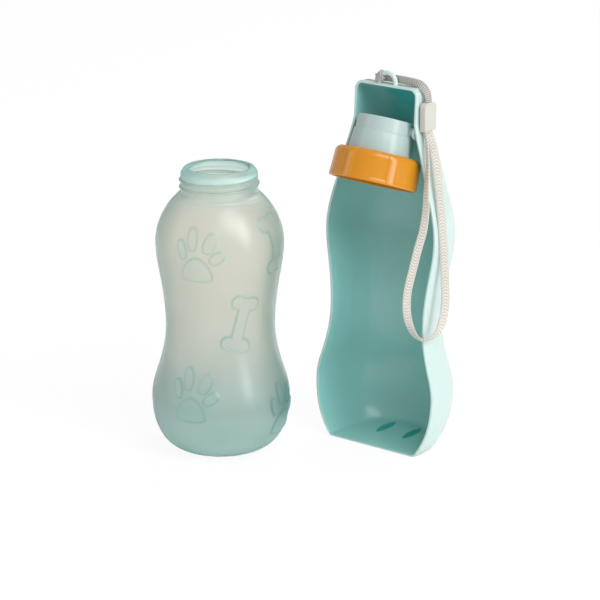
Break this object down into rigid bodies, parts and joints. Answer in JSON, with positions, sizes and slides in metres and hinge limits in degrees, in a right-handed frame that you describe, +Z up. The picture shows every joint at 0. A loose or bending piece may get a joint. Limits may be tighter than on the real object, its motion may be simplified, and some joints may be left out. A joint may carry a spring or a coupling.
{
  "type": "dog travel water bottle",
  "caption": "Squeeze water bottle for dogs beside its fold-out drinking tray, with a hinged spout, screw collar and wrist strap.",
  "frame": {"origin": "on the surface that both pieces stand on, at the centre of the tray's round back", "axes": "+Z up, +X to the right across the tray's opening, and the opening faces -Y"},
  "size_m": [0.1635, 0.1505, 0.2314],
  "materials": {
    "frosted_mint": "frosted",
    "mint_shell": "satin gloss",
    "pale_mint": "satin",
    "amber": "satin gloss",
    "silicone": "matte",
    "grey_tape": "woven",
    "cream_plastic": "satin",
    "cream_web": "woven"
  },
  "bodies": {
    "tray": {"tray_shell": "mint_shell", "strap_tape": "grey_tape", "strap_bead": "cream_plastic", "strap_webbing": "cream_web"},
    "spout": {"spout_body": "pale_mint", "slit_valve": "silicone", "valve_retainer": "pale_mint", "neck_gasket": "silicone"},
    "collar": {"collar_ring": "amber"},
    "bottle": {"bottle": "frosted_mint"}
  },
  "joints": [
    {"name": "spout_fold", "type": "hinge", "parent": "tray", "child": "spout", "pos_m": [0, 0.00778, 0.19597], "axis": [1, 0, 0], "range_deg": [-82.5, 17.5]},
    {"name": "collar_turn", "type": "hinge", "parent": "spout", "child": "collar", "pos_m": [0, -0.00202, 0.18234], "axis": [0, 0.3502, 0.9367], "continuous": true},
    {"name": "bottle_lift", "type": "slide", "parent": "tray", "child": "bottle", "axis": [0, 0, 1], "range_m": [0, 0.2]}
  ]
}
